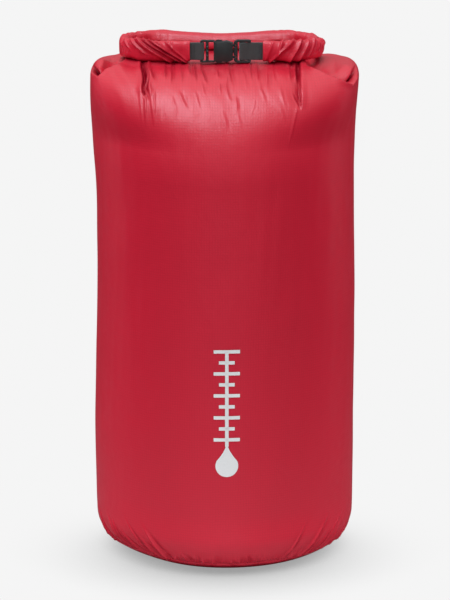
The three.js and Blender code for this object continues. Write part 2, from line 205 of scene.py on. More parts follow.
def value_noise(x, seed, octaves=3):
    """Smooth noise in one dimension, about -1 to 1."""
    x = np.asarray(x, float)
    count = 256
    total = np.zeros_like(x)
    for octave in range(octaves):
        random = np.random.RandomState(seed + 31 * octave)
        knots = random.uniform(-1, 1, count)
        place = x * 2**octave
        whole = np.floor(place).astype(int)
        t = smooth(place - whole, 0, 1)
        total += (knots[whole % count] * (1 - t) + knots[(whole + 1) % count] * t) / 1.7**octave
    return total / 1.6


def plane_noise(x, y, seed, waves=14, shortest=1.0):
    """Smooth noise in two dimensions from waves in all directions, about -1 to 1."""
    random = np.random.RandomState(seed)
    total = 0
    for _ in range(waves):
        direction = random.uniform(0, 2 * math.pi)
        scale = random.uniform(0.35, 1) / shortest
        along = x * math.cos(direction) + y * math.sin(direction)
        total += np.sin(along * scale * 2 * math.pi + random.uniform(0, 7))
    return total / math.sqrt(waves)


# ---------------- materials
class Signal:
    """A number that nodes work out at each point; its sums, products and powers are maths nodes."""

    def __init__(self, socket):
        self.socket = socket

    def __add__(self, other):
        return maths("ADD", self, other)

    def __sub__(self, other):
        return maths("SUBTRACT", self, other)

    def __rsub__(self, other):
        return maths("SUBTRACT", other, self)

    def __mul__(self, other):
        return maths("MULTIPLY", self, other)

    def __truediv__(self, other):
        return maths("DIVIDE", self, other)

    def __pow__(self, other):
        return maths("POWER", self, other)

    def clamped(self):
        """Keeps the number between 0 and 1."""
        self.socket.node.use_clamp = True
        return self


def feed(target, value):
    """Links a signal or an output to an input, or sets the input to a plain value."""
    source = value.socket if isinstance(value, Signal) else value
    if isinstance(source, bpy.types.NodeSocket):
        target.id_data.links.new(source, target)
    else:
        target.default_value = value


def node(tree, kind, inputs=None, **settings):
    """A new node: settings are its own properties, and inputs are fed by name or by number."""
    made = tree.nodes.new(kind)
    for key, value in settings.items():
        setattr(made, key, value)
    for key, value in (inputs or {}).items():
        feed(made.inputs[key], value)
    return made


def maths(operation, a, b=0.0):
    tree = (a if isinstance(a, Signal) else b).socket.id_data
    return Signal(node(tree, "ShaderNodeMath", {0: a, 1: b}, operation=operation).outputs[0])


def mix_colour(factor, a, b):
    """Goes from colour a to colour b as the factor, a signal, goes from 0 to 1."""
    return node(factor.socket.id_data, "ShaderNodeMix", {0: factor, 6: a, 7: b}, data_type="RGBA").outputs[2]


def noise(place, scale, detail, **more):
    """Cloudy noise, about 0 to 1."""
    inputs = {"Vector": place, "Scale": scale, "Detail": detail, **more}
    return Signal(node(place.id_data, "ShaderNodeTexNoise", inputs).outputs[0])


def wave(coordinate, pitch):
    return maths("SINE", coordinate * (2 * math.pi / pitch))


def line_pattern(coordinate, pitch, width):
    """1 on thin lines, pitch apart, and 0 between them."""
    distance = maths("ABSOLUTE", maths("FRACT", coordinate / pitch) - 0.5)
    edge = (0.5 - width / pitch / 2) - distance
    return (1.0 - (edge * 9.0).clamped()).clamped()


def open_share(tree, reach, samples, **more):
    """1 where nothing is near the surface, and less where it is hemmed in."""
    inputs = {"Distance": reach, **more}
    return Signal(node(tree, "ShaderNodeAmbientOcclusion", inputs, samples=samples).outputs["AO"])


def shader(name):
    """A new material, its tree and the inputs of its Principled shader."""
    material = bpy.data.materials.new(name)
    material.use_nodes = True
    tree = material.node_tree
    return material, tree, tree.nodes["Principled BSDF"].inputs


def cloth_place(tree):
    """The place on a cloth in millimetres, as a vector and as its two numbers."""
    uv = node(tree, "ShaderNodeUVMap", uv_map="cloth").outputs[0]
    parts = node(tree, "ShaderNodeSeparateXYZ", {0: uv}).outputs
    return uv, Signal(parts[0]), Signal(parts[1])


def emboss(tree, inputs, height, distance=MM, strength=1.0):
    """Bumps a surface; a height of 1 stands for the distance."""
    bumped = node(tree, "ShaderNodeBump", {"Height": height, "Distance": distance, "Strength": strength})
    feed(inputs["Normal"], bumped.outputs[0])


def opaque(colour, share=1):
    """A colour, or a darker share of it, as a node's socket takes it."""
    return tuple(c * share for c in colour) + (1,)


GRID_PITCH, THREAD_W = 2.9, 0.42  # of the ripstop


def ripstop(name, colour, roughness, crinkle=0.3):
    """Coated ripstop nylon: a fine plain weave, with a grid of thicker threads that stand up from it."""
    material, tree, inputs = shader(name)
    uv, across, along = cloth_place(tree)
    drift = (noise(uv, 0.06, 1.0) - 0.5) * 3.0
    across, along = across + drift, along + drift
    upright, level = (line_pattern(place, GRID_PITCH, THREAD_W) for place in (across, along))
    grid = maths("MAXIMUM", upright, level)
    weave = wave(across, THREAD_W) * wave(along, THREAD_W)
    fine = noise(uv, 0.11, 5.0, Roughness=0.6)
    creases = noise(uv, 0.035, 3.0, Distortion=1.2)
    emboss(tree, inputs, grid * 0.05 + weave * 0.006 + fine * crinkle + creases * (crinkle * 1.5))
    dark = opaque(colour, 0.8)
    base = mix_colour(grid * 0.45, opaque(colour), dark)
    base = mix_colour(noise(uv, 0.012, 2.0) * 0.22, base, dark)
    # Painted shade: in tight creases and hollows the base colour is darkened towards a third of the crimson,
    # because less light gets out of a tight crease than the open cloth would send back; the gloss and the
    # coat's haze are turned down there too.
    closed = ((1.0 - open_share(tree, 9 * MM, 4)) * 1.5).clamped()
    feed(inputs["Base Color"], mix_colour(closed, base, opaque(colour, 0.3)))
    shine = (1.0 - closed) * 0.5
    feed(inputs["Specular IOR Level"], shine)
    # The coating scatters a broad, pale haze on top of the cloth's own gloss.
    feed(inputs["Coat Weight"], shine * 1.1)
    feed(inputs["Coat Roughness"], 0.65)
    feed(inputs["Roughness"], fine * 0.1 + (roughness - 0.05))
    return material


def webbing_material():
    """Nylon strap: ribs across it, each crossed by a herringbone of yarns, with matt fuzz."""
    material, tree, inputs = shader("webbing")
    uv, along, across = cloth_place(tree)
    slant = maths("ABSOLUTE", maths("FRACT", across / 2.2) - 0.5)
    yarn = maths("SINE", along * (2 * math.pi / 0.9) + slant * 11.0)
    emboss(tree, inputs, wave(along, 1.1) * 0.05 + yarn * 0.06 + noise(uv, 2.5, 4.0) * 0.08)
    base = mix_colour(yarn * 0.3 + 0.5, (0.022, 0.025, 0.023, 1), (0.046, 0.053, 0.048, 1))
    feed(inputs["Base Color"], base)
    feed(inputs["Roughness"], 0.7)
    feed(inputs["Sheen Weight"], 0.3)
    feed(inputs["Sheen Roughness"], 0.5)
    return material


def moulded_material():
    """Satin acetal with the fine grain of its mould and a little wear."""
    material, tree, inputs = shader("buckle_plastic")
    place = node(tree, "ShaderNodeTexCoord").outputs["Object"]
    emboss(tree, inputs, noise(place, 2600.0, 2.0), distance=0.06 * MM, strength=0.8)
    cloud = noise(place, 90.0, 3.0)
    feed(inputs["Base Color"], mix_colour(cloud, (0.012, 0.014, 0.013, 1), (0.023, 0.027, 0.025, 1)))
    feed(inputs["Roughness"], cloud * 0.14 + 0.36)
    return material


def plain_material(name, colour, roughness, grain_scale, grain_height, sheen=0.0):
    """A finish with its own fine grain and a slight unevenness of tone."""
    material, tree, inputs = shader(name)
    grain = noise(node(tree, "ShaderNodeTexCoord").outputs["Object"], grain_scale, 4.0)
    emboss(tree, inputs, grain, distance=grain_height * MM)
    feed(inputs["Base Color"], mix_colour(grain, opaque(colour), opaque(colour, 0.86)))
    feed(inputs["Roughness"], grain * 0.1 + (roughness - 0.05))
    feed(inputs["Sheen Weight"], sheen)
    return material


CRIMSON = (0.58, 0.004, 0.025)
bag_cloth = ripstop("bag_cloth", CRIMSON, 0.38)
rolled_cloth = ripstop("rolled_cloth", CRIMSON, 0.4, crinkle=0.4)
base_cloth = ripstop("base_cloth", CRIMSON, 0.46)
webbing = webbing_material()
buckle_plastic = moulded_material()
thread = plain_material("thread", (0.032, 0.035, 0.034), 0.6, 1500.0, 0.1, sheen=0.3)
red_thread = plain_material("red_thread", (0.36, 0.012, 0.028), 0.55, 1500.0, 0.1, sheen=0.3)
print_ink = plain_material("print_ink", (0.78, 0.79, 0.74), 0.55, 900.0, 0.05)
seam_tape = plain_material("seam_tape", (0.55, 0.54, 0.52), 0.35, 700.0, 0.05)
strip_plastic = plain_material("strip_plastic", (0.015, 0.015, 0.017), 0.5, 500.0, 0.05)


# ---------------- the filled bag's surface
def outline():
    """The outline's points, as (radius, z), from the base's middle up to the crown's."""
    points = [(0, 0)]
    for angle in np.linspace(-QUARTER, 0, 60):
        points.append((BASE_FLAT_R + BASE_EDGE_R * math.cos(angle), BASE_EDGE_R * (1 + math.sin(angle))))
    for share in np.linspace(0.02, 1, 120):
        z = BASE_EDGE_R + (SHOULDER_Z - BASE_EDGE_R) * share
        above_base = (BODY_R - BASE_R) * smooth(z, 40, 150)
        at_shoulder = (SHOULDER_R - BODY_R) * smooth(z, 400, SHOULDER_Z)
        points.append((BASE_R + above_base + at_shoulder, z))
    centre_r = SHOULDER_R - SHOULDER_EDGE_R
    for angle in np.linspace(0.03, 1.5, 40):
        radius = centre_r + SHOULDER_EDGE_R * math.cos(angle)
        points.append((radius, SHOULDER_Z + SHOULDER_EDGE_R * math.sin(angle)))
    last_r, last_z = points[-1]
    for t in np.linspace(0.03, 1, 50):
        radius = last_r + (CROWN_LEVEL_R - last_r) * t
        points.append((radius, last_z + (TOP_Z - last_z) * (1 - (1 - t) ** 2)))
    points.append((0, TOP_Z))
    return np.array(points, float)


PROFILE = outline()
PROFILE_LENGTH = length_along(PROFILE)  # of cloth, from the base's middle
BASE_SEAM_LENGTH = BASE_FLAT_R + BASE_EDGE_R * (QUARTER + BASE_SEAM_ANGLE)


def length_at(z):
    """The length of cloth from the base's middle up to a height."""
    return np.interp(z, PROFILE[:, 1], PROFILE_LENGTH)


def filled(angle, length):
    """The bag's smooth shape, at an angle round it and a length of cloth from the base's middle."""
    radius = np.interp(length, PROFILE_LENGTH, PROFILE[:, 0])
    z = np.interp(length, PROFILE_LENGTH, PROFILE[:, 1])
    rise = np.clip((z - LEAN_Z) / (TOP_Z - LEAN_Z), 0, 1)
    cos, sin = np.cos(angle), np.sin(angle)
    front = 1 - smooth(sin, -0.25, 0.25)
    crown = CROWN_REAR + (CROWN_FRONT - CROWN_REAR) * front
    depth = crown + (BODY_R - crown) * np.sqrt(1 - rise**2)
    squared = radius * squared_off(cos, sin, 2 + CROWN_SQUARENESS * smooth(rise, 0.3, 1))
    spread = 1 + BASE_PUSH * front * (1 - smooth(z, 4, 70))
    return np.stack([squared * cos, squared * sin * spread * depth / BODY_R, z], -1)


def filled_normal(angle, length):
    step_angle, step_length = 0.002, 0.4
    along = filled(angle, length + step_length) - filled(angle, length - step_length)
    around = filled(angle + step_angle, length) - filled(angle - step_angle, length)
    return normalise(np.cross(around, along))


def fold(across, left_width, right_width, height):
    """A sharp crest that falls away on both sides."""
    t = np.clip(np.where(across < 0, 1 + across / left_width, 1 - across / right_width), 0, 1)
    return height * t**1.6


def crease(across, width, height, steepness, hollow):
    """A crest that is steeper on its right, with a hollow beside it."""
    crest = fold(across, width, steepness * width, height)
    return crest - fold(across - width, width, width, hollow * height)


def gathers(seed, x_range, zones):
    """Short creases under the roll, placed at random in each zone."""
    random = np.random.RandomState(seed)
    low_x, high_x = x_range
    places = []
    for count, near, far, shortest, longest, height in zones:
        for i in range(count):
            x = low_x + (high_x - low_x) * (i + random.uniform(0, 1)) / count
            start = random.uniform(near, far)
            length = random.uniform(shortest, longest)
            lean = random.uniform(-0.15, 0.45) - 0.0012 * x
            width = random.uniform(1.6, 4.5)
            places.append((x, start, length, lean, width, height * random.uniform(0.4, 1)))
    return places


def gather_relief(x, down, places):
    """Soft scallops where the cloth is pushed together under the roll, with the creases on them."""
    drift = 5 * np.sin(down / 17 + x / 31)
    total = 1.5 * value_noise((x - 0.5 * down + drift) / 13, 77, octaves=2) * (1 - smooth(down, 2, 22))
    total += 0.6 * value_noise((x - 0.4 * down + drift) / 24, 78) * bump(down - 26, 18)
    for x0, start, length, lean, width, height in places:
        share = (down - start) / length
        across = x - x0 - lean * (down - start) - 0.8 * np.sin(down / 5 + x0)
        total += between(share, -0.15, 0.2, 0.4, 1) * crease(across, width, height, 0.5, 0.7)
    return total


# (count, nearest start, furthest start, shortest, longest, height)
FRONT_ZONES = [(17, -2, 3, 7, 18, 2.4), (12, 8, 26, 9, 22, 1.2), (6, 26, 50, 14, 30, 0.5)]
FRONT_GATHERS = gathers(5, (-86, 82), FRONT_ZONES)
REAR_ZONES = [(30, -2, 4, 10, 30, 1.3), (12, 10, 40, 14, 36, 0.7)]
REAR_GATHERS = gathers(9, (-104, 98), REAR_ZONES)


def left_pleat(x, down):
    """A crisp lip over a drop and two facets, with thin wrinkles that run on below."""
    length = 31
    across = x - (-95.5 + 0.2 * down + 1.4 * np.sin(down / 4.2))
    lip = fold(across + 0.4, 7, 0.8, 2.6)
    drop = -6.0 * between(across, -0.2, 1.4, 2, 9)
    facets = fold(across - 4 - 1.6 * np.sin(down / 3.4), 1.8, 2.2, 3.4) + fold(across - 8.5, 2.0, 4.5, 2.4)
    reach = between(down, 14, 24, 38, 58)
    wrinkles = 0
    for offset, lean, height in ((0, 0.05, 1.6), (5, 0.12, 1.2), (11, 0.02, 1.4), (-7, 0.1, 0.9)):
        wrinkles += reach * fold(x + 90 - offset - lean * down, 2.6, 1.6, height)
    return between(down, -3, 2, 0.5 * length, length) * (lip + drop + facets) + wrinkles


def right_pleat(x, down):
    """The cloth on the right lies over the cloth on the left, which slopes in behind an upright edge."""
    length = 41
    across = x - (84.5 + 0.02 * down)
    over = smooth(across, -0.7, 0.7)
    slope = np.clip(1 + across / np.interp(down, [0, length], [34, 10]), 0, 1)
    behind = -6.0 * slope**1.3 * (1 - over)
    lip = 1.8 * over * (1 - smooth(across, 1, 9))
    wrinkle = between(down, 30, 42, 60, 86) * fold(x - 80 + 0.24 * (down - 40), 3.5, 2.0, 0.7)
    return between(down, -3, 2, 0.6 * length, length) * (behind + lip) + wrinkle


def flap(above_edge, drop, width, strength):
    """Cloth that ends at an edge, with a deep fold above it that climbs back over a width."""
    lip = fold(above_edge + 0.5, 7, 0.8, 1.8)
    down = between(above_edge, -0.4, 1.6, 0.3 * width, width)
    return strength * (lip - drop * down)


def shoulder_flaps(x, y, z):
    """At each shoulder the front cloth ends at an edge that slopes out and down over the cloth behind."""
    level = z + 0.15 * y - TOP_Z  # height as it looks from a little above the front
    front = 1 - smooth(y, -6, 30)
    # Right: one long straight edge, with two small creases above it.
    edge = np.interp(x, [88, 144, 153], [-6, -29, -18])
    strength = front * between(x, 88, 100, 146, 151)
    total = flap(level - edge, 11.0, np.interp(x, [90, 125, 150], [10, 24, 17]), strength)
    for offset, lean, height in ((12, 0.42, 1.8), (19, 0.3, 1.4)):
        start = -2 - offset * 0.3
        line = np.interp(x, [100, 140], [start, start - 40 * lean])
        small = fold(level + offset * 0.1 - line, 1.2, 2.6, height)
        total += front * between(x, 104, 112, 128, 142) * small
    # Left: an edge that hooks round the corner, with a band of cloth behind it.
    edge = np.interp(x, [-154, -150, -143, -135, -121, -108], [-13, -16, -20, -12, -6.5, -3])
    strength = front * between(x, -153, -149, -116, -106)
    total += flap(level - edge, 11.0, np.interp(x, [-150, -130, -110], [9, 13, 6]), strength)
    band = fold(level - np.interp(x, [-150, -135, -112], [-7, -2.5, 0.5]), 3.0, 2.0, 2.8)
    return total + front * between(x, -152, -144, -118, -108) * band


def under_roll(x, y):
    """1 beneath the line of the rolled collar, and less away from it and in the gap at the buckle."""
    beside = np.maximum(np.abs(x - LOOP_X) - HALF_RUN, 0)
    from_line = np.abs(np.hypot(beside, y - MIDDLE_Y) - BEND_R)
    gap = between(x, LEFT_END_X - 22, LEFT_END_X + 2, RIGHT_END_X - 2, RIGHT_END_X + 22)
    return bump(from_line, 8) * (1 - 0.75 * gap * (1 - smooth(y, -10, 20)))


def beside_seam(angle, near, far):
    """0 at the seam up the back, 1 at a distance from it; the two edges that meet there must match."""
    return smooth(np.abs(turn_from(angle, BACK)) * BODY_R, near, far)


def skin_relief(angle, length, place):
    """How far the cloth stands off the smooth shape, in millimetres."""
    x, y, z = place[..., 0], place[..., 1], place[..., 2]
    around = angle * BODY_R
    wall = between(z, 5, 60, TOP_Z - 60, TOP_Z - 5) * beside_seam(angle, 12, 60)
    # Broad hollows and swells of a bag packed by hand, and slack between them.
    total = wall * 1.5 * plane_noise(around, z, 3, waves=10, shortest=210)
    total += wall * 0.35 * plane_noise(around, z * 0.6, 8, waves=12, shortest=60)
    tension = smooth(z, 90, 380) * 0.5 + 0.35
    total += wall * tension * 0.16 * plane_noise(around, z * 0.25, 12, waves=16, shortest=13)
    # The front and the back under the roll.
    down = TOP_Z - z
    shoulder = smooth(z, LEAN_Z - 20, LEAN_Z + 20)
    folds = gather_relief(x, down, FRONT_GATHERS) + left_pleat(x, down) + right_pleat(x, down)
    total += smooth(-y, 30, 52) * shoulder * folds
    total += smooth(y, 34, 60) * shoulder * gather_relief(x, down, REAR_GATHERS)
    total += smooth(z, TOP_Z - 50, TOP_Z - 36) * shoulder_flaps(x, y, z)
    # The crown swells up behind the front of the roll, sinks a little at the back, and climbs into the roll.
    behind_front = smooth(y, -54, -30) * (1 - smooth(np.abs(x), 70, 110))
    total += 3.0 * smooth(z, TOP_Z - 6, TOP_Z - 1) * behind_front
    total -= 2.0 * smooth(z, TOP_Z - 24, TOP_Z - 8) * smooth(y, 0, 50)
    climb = ROLL_Z - ROLL_H / 2 - TOP_Z + 1.0
    total += smooth(z, TOP_Z - 8, TOP_Z - 3) * climb * under_roll(x, y)
    return total + base_relief(angle, length)


def base_places(seed, zones):
    """Creases that climb from the base seam, placed at random in each zone."""
    random = np.random.RandomState(seed)
    places = []
    for centre, spread, count, lean, length, height in zones:
        for i in range(count):
            angle = centre + spread * (2 * (i + random.uniform(0.1, 0.9)) / count - 1)
            reach = length * random.uniform(0.35, 1.1)
            width = random.uniform(2.5, 6.0)
            slant = lean + random.uniform(-0.3, 0.3)
            places.append((angle, slant, reach, width, height * random.uniform(0.4, 1)))
    return places


# (angle, half spread, count, lean, length, height)
BASE_ZONES = [
    (FRONT - 0.85, 0.42, 10, -0.9, 50, 3.4),
    (FRONT - 0.1, 0.45, 10, -0.3, 20, 2.6),
    (FRONT + 0.85, 0.42, 11, 0.9, 54, 3.4),
    (0.5, 0.5, 14, 0.3, 36, 1.8),
    (BACK + 0.2, 0.7, 18, 0.0, 34, 1.8),
    (math.pi - 0.15, 0.5, 14, -0.3, 36, 1.8),
]
BASE_WRINKLES = base_places(21, BASE_ZONES)


def base_relief(angle, length):
    """Creases, puckers and the seam itself, round the base."""
    up = length - BASE_SEAM_LENGTH
    total = 0
    for centre, lean, reach, width, height in BASE_WRINKLES:
        across = turn_from(angle, centre) * BASE_CREASE_R - lean * up
        total += between(up, -2, 3, 0.3 * reach, reach) * crease(across, width, height, 0.6, 0.5)
    # The near corners of the base are drawn up and in.
    for corner, depth in ((FRONT - 0.85, 3.5), (FRONT + 1.0, 1.0)):
        total -= depth * bump(turn_from(angle, corner), 0.4) * bump(up + 2, 24)
    puckers = value_noise(angle * BASE_CREASE_R / 6.5, 40, octaves=2) * beside_seam(angle, 12, 24)
    total += 1.1 * puckers * (bump(up - 6, 6) - 0.6 * bump(up + 5, 4))
    return total - 1.2 * bump(up, 1.0) + 0.4 * bump(up + 3, 2.0)


def skin(angle, length, lift=0.0):
    """Points of the cloth's outer face, or at a lift above it."""
    place = filled(angle, length)
    return place + filled_normal(angle, length) * (skin_relief(angle, length, place) + lift)[..., None]


def weld(piece):
    """Joins points that lie on each other."""
    work = bmesh.new()
    work.from_mesh(piece.data)
    bmesh.ops.remove_doubles(work, verts=work.verts, dist=0.02 * MM)
    work.to_mesh(piece.data)
    work.free()
    piece.data.update()


def cloth_patch(name, angles, lengths, material, lift=0.0):
    """A piece of the bag's surface as one grid; edges that meet at the back are joined."""
    angle, length = np.meshgrid(angles, lengths)
    uv = np.stack([angle * BODY_R, length], -1).reshape(-1, 2)
    points = skin(angle, length, lift).reshape(-1, 3)
    piece = make_mesh(name, points, grid_faces(*angle.shape), uv, material)
    weld(piece)
    return piece


def all_round(count):
    """Angles once round the bag, from its back to its back."""
    return np.linspace(-1.5 * math.pi, 0.5 * math.pi, count)


def bag_body():
    seam, top = BASE_SEAM_LENGTH, PROFILE_LENGTH[-1]
    shoulder, crown = length_at(LEAN_Z), length_at(TOP_Z - 3)
    density = 1.0 if FINE else 0.5
    stretches = [(seam, seam + 70, 64), (seam + 70, shoulder, 110), (shoulder, crown, 130)]
    lengths = [np.linspace(low, high, int(rows * density), endpoint=False) for low, high, rows in stretches]
    lengths.append(np.linspace(crown, top - 0.5, int(70 * density)))
    return cloth_patch("bag_skin", all_round(1100 if FINE else 520), np.concatenate(lengths), bag_cloth)


def bag_base():
    lengths = np.concatenate([np.linspace(0.5, 96, 20), np.linspace(98, BASE_SEAM_LENGTH + 0.8, 50)])
    return cloth_patch("base_disc", all_round(520), lengths, base_cloth)


def inner_tape(name, source, angles, lengths):
    """A welded strip on the inside of the cloth, over a seam."""
    tape = cloth_patch(name, angles, lengths, seam_tape, lift=-2.6)
    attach(tape, "bag")
    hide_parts(source)


body = bag_body()
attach(body, "bag")
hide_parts("body_panel")

inner_tape("base_tape", "base_seam_tape", all_round(520), BASE_SEAM_LENGTH + np.linspace(-8.5, 8.5, 12))
rear_lengths = np.linspace(BASE_SEAM_LENGTH + 10, length_at(SEAM_HIGH[2]), 260)
inner_tape("rear_tape", "rear_seam_tape", BACK + np.linspace(-11, 11, 14) / BODY_R, rear_lengths)

base = bag_base()
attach(base, "bag")
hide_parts("base_panel")


# ---------------- the rolled collar and carry loop
LEFT_RUN = LEFT_END_X - (LOOP_X - HALF_RUN)
RIGHT_RUN = LOOP_X + HALF_RUN - RIGHT_END_X
HALF_TURN = math.pi * BEND_R
REAR_START = LEFT_RUN + HALF_TURN
REAR_END = REAR_START + 2 * HALF_RUN
RIGHT_SIDE = REAR_END + HALF_TURN / 2  # where the loop is furthest to the right
COLLAR_END = REAR_END + HALF_TURN + RIGHT_RUN
BEND_EDGE_X = LOOP_X + HALF_RUN + BEND_R
TRAVEL = 20  # of the plug, when the buckle is drawn out
ROLL_SQUARENESS = 2.6
REAR_LEAN = 4.6


def collar_line(s):
    """The collar's middle line and its outward direction, at a distance s from the left front end."""
    s = np.asarray(s, float)
    left_turn = np.clip((s - LEFT_RUN) / BEND_R, 0, math.pi)
    right_turn = np.clip((s - REAR_END) / BEND_R, 0, math.pi)
    x = LEFT_END_X - np.minimum(s, LEFT_RUN) - BEND_R * np.sin(left_turn)
    x = x + np.clip(s - REAR_START, 0, 2 * HALF_RUN) + BEND_R * np.sin(right_turn)
    x = x - np.maximum(s - REAR_END - HALF_TURN, 0)
    y = np.where(s > REAR_END, MIDDLE_Y + BEND_R * np.cos(right_turn), MIDDLE_Y - BEND_R * np.cos(left_turn))
    facing = -QUARTER - left_turn - right_turn
    return x, y, np.cos(facing), np.sin(facing)


def sag(s):
    """1 at the middle of the rear run, and less away from it."""
    middle = (s - (REAR_START + REAR_END) / 2) / HALF_RUN
    return np.exp(-(middle**2) * 1.6)


# Creases on the collar's outer face: distance from its end at the top and at the bottom, left and right
# width, height, and the lowest and highest level reached, from -1 at the bottom edge to 1 at the top edge.
LEFT_CREASES = [
    (61, 20, 3.5, 7.0, 3.4, -1.1, 1.0),
    (53, 9, 2.4, 5.0, 3.6, -1.2, 1.1),
    (46, 3, 2.2, 4.6, 3.2, -1.2, 1.0),
    (38, 12, 2.2, 5.0, 2.0, 0.0, 1.1),
    (29, 1, 2.2, 4.0, 1.8, -0.9, 0.9),
    (21, 16, 2.4, 3.0, 1.0, 0.0, 1.0),
    (70, 36, 4.5, 5.0, 2.4, -0.2, 1.0),
    (80, 55, 3.5, 4.5, 1.9, 0.0, 1.1),
    (90, 70, 3.5, 3.5, 1.7, 0.2, 1.1),
]
RIGHT_CREASES = [
    (34, 7, 3.2, 5.5, 3.6, -1.1, 1.1),
    (22, 15, 3.2, 3.5, 2.4, -0.4, 1.1),
    (43, 29, 5.5, 2.6, 3.0, -1.0, 1.1),
    (52, 38, 3.5, 3.5, 2.7, -0.9, 1.1),
    (61, 47, 2.8, 4.2, 2.5, -0.7, 1.1),
    (12, 2, 2.2, 4.0, 1.6, -1.0, 1.0),
    (71, 60, 4.0, 3.2, 2.3, -0.2, 1.1),
    (80, 74, 4.0, 3.2, 2.0, 0.0, 1.1),
    (90, 86, 3.0, 3.2, 1.8, 0.1, 1.1),
]


def crease_relief(along, level, creases):
    total = 0
    for top, bottom, left_width, right_width, height, low, high in creases:
        line = bottom + (top - bottom) * (level + 1) / 2
        reach = between(level, low - 0.25, low + 0.25, high - 0.1, high + 0.3)
        total += reach * fold(along - line, left_width, right_width, height)
    return total


def collar_relief(s, turn):
    """What stands off the collar's smooth section; turn 0 faces outwards and pi/2 upwards."""
    level = np.sin(turn)
    outside = smooth(np.cos(turn), -0.35, 0.35)
    total = outside * crease_relief(s, level, LEFT_CREASES)
    total += outside * crease_relief(COLLAR_END - s, level, RIGHT_CREASES)
    # Gathers on the inner and upper side of each bend, where the cloth is pushed together.
    inner = smooth(level - 0.6 * np.cos(turn), 0.1, 0.9)
    for bend_start, seed in ((LEFT_RUN, 3), (REAR_END, 6)):
        place = s - bend_start
        envelope = between(place, 8, 38, HALF_TURN - 38, HALF_TURN - 8)
        folds = value_noise(place / 6.4 + 0.5 * level, seed)
        total += envelope * inner * (1.7 * folds - 0.3)
        total += envelope * (1 - inner) * 0.5 * value_noise(place / 9 + level, seed + 50, octaves=2)
    # Slack along the whole roll, less in its taut rear run, and the line where its last turn of cloth ends.
    slack = 1 - 0.7 * between(s, REAR_START, REAR_START + 20, REAR_END - 20, REAR_END)
    total += 0.4 * slack * plane_noise(s, turn * 12, 17, waves=14, shortest=22)
    total += 0.22 * slack * plane_noise(s, turn * 8, 23, waves=14, shortest=7)
    edge = turn_from(turn, 2.35 + 0.04 * np.sin(s / 23))
    return total + 0.4 * between(edge, -0.06, 0.02, 0.1, 1.2)


def collar_skin(s, turn, shrink=1.0):
    """Points of the roll; a shrink of less than 1 gives a smaller section inside it, for its ends."""
    x, y, out_x, out_y = collar_line(s)
    end = np.minimum(s, COLLAR_END - s)
    half_t = ROLL_T / 2 * (0.66 + 0.34 * smooth(end, 0, 22)) * shrink
    half_h = (ROLL_H / 2 - 0.6) * shrink * np.ones_like(s)
    cos, sin = np.cos(turn), np.sin(turn)
    squared = squared_off(cos, sin, ROLL_SQUARENESS)
    out = half_t * cos * squared
    up = half_h * sin * squared
    # The top sags along the rear run, swells a little on both sides of the buckle and slopes at the right.
    top = np.maximum(sin, 0)
    up = up - 5.0 * sag(s) * top + 1.2 * (sin > 0) * bump(end - 62, 26)
    up = up - 4.0 * top * bump(s - RIGHT_SIDE, 30)
    # The rear run leans back, so its inner face looks up a little.
    at_rear = between(s, REAR_START - 25, REAR_START + 5, REAR_END - 5, REAR_END + 25)
    out = out + REAR_LEAN * at_rear * sin
    slope_out, slope_up = cos / half_t, sin / half_h
    slope = np.hypot(slope_out, slope_up)
    relief = collar_relief(s, turn) * smooth(end, -1, 4) * shrink
    out = out + relief * slope_out / slope
    up = up + relief * slope_up / slope
    return np.stack([x + out * out_x, y + out * out_y, ROLL_Z + up], -1)


ROLL_CLOTH_R = 10.5  # of a circle as long as the way round the roll


def collar_piece(name, start, end, cap_start=False, cap_end=False):
    """A stretch of the roll as a closed skin; a cap is the roll's end, wound round in a spiral."""
    around = 112 if FINE else 64
    rows = int((end - start) / (0.7 if FINE else 1.4)) + 1
    # A ring is a distance along the roll, a share of its section, and a shift in x.
    rings = [(s, 1.0, 0.0) for s in np.linspace(start, end, rows)]
    spiral = [(1 - (k / 9) ** 2 * 0.9, 1.2 + 0.9 * math.sin(k * 1.7)) for k in range(1, 10)]
    if cap_start:
        rings = [(start, share, -sink * (1 - share)) for share, sink in reversed(spiral)] + rings
    if cap_end:
        rings = rings + [(end, share, sink * (1 - share)) for share, sink in spiral]
    turns = np.linspace(-math.pi, math.pi, around, endpoint=False)
    points, uv = [], []
    for s, shrink, shift in rings:
        ring = collar_skin(np.full(around, s), turns, shrink)
        ring[:, 0] += shift
        points.append(ring)
        uv.append(np.stack([np.full(around, s + 3 * (1 - shrink)), (turns + math.pi) * ROLL_CLOTH_R], -1))
    faces = tube_faces(len(rings), around)
    return make_mesh(name, np.concatenate(points), faces, np.concatenate(uv), rolled_cloth)


collar = collar_piece("rolled_collar", 0, RIGHT_SIDE, cap_start=True)
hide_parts("collar_left", "collar_rear", "collar_right")
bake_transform(collar)

collar_tip = collar_piece("rolled_collar_tip", RIGHT_SIDE - 1.5, COLLAR_END, cap_end=True)
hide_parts("collar_right_end")
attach(collar_tip, "carry_loop")
BEND_EDGE_X * MM
1 - TRAVEL / (BEND_EDGE_X - RIGHT_END_X)
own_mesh(collar_tip)


STRIP_HALF_W, STRIP_HALF_T = 8, 0.6


def strip_piece(name, start, end):
    """The stiffening strip inside the roll: flat, upright, and lower where the roll sags."""
    s = np.linspace(start, end, 160)
    x, y, out_x, out_y = collar_line(s)
    top = STRIP_HALF_W - 4.6 * sag(s)
    bottom = np.full(len(s), -STRIP_HALF_W)
    corners = [(STRIP_HALF_T, top), (STRIP_HALF_T, bottom), (-STRIP_HALF_T, bottom), (-STRIP_HALF_T, top)]
    points = np.zeros((len(s), len(corners), 3))
    for k, (out, height) in enumerate(corners):
        points[:, k] = np.stack([x + out * out_x, y + out * out_y, ROLL_Z + height], -1)
    faces = tube_faces(len(s), len(corners))
    return make_mesh(name, points.reshape(-1, 3), faces, None, strip_plastic, smooth_shading=False)


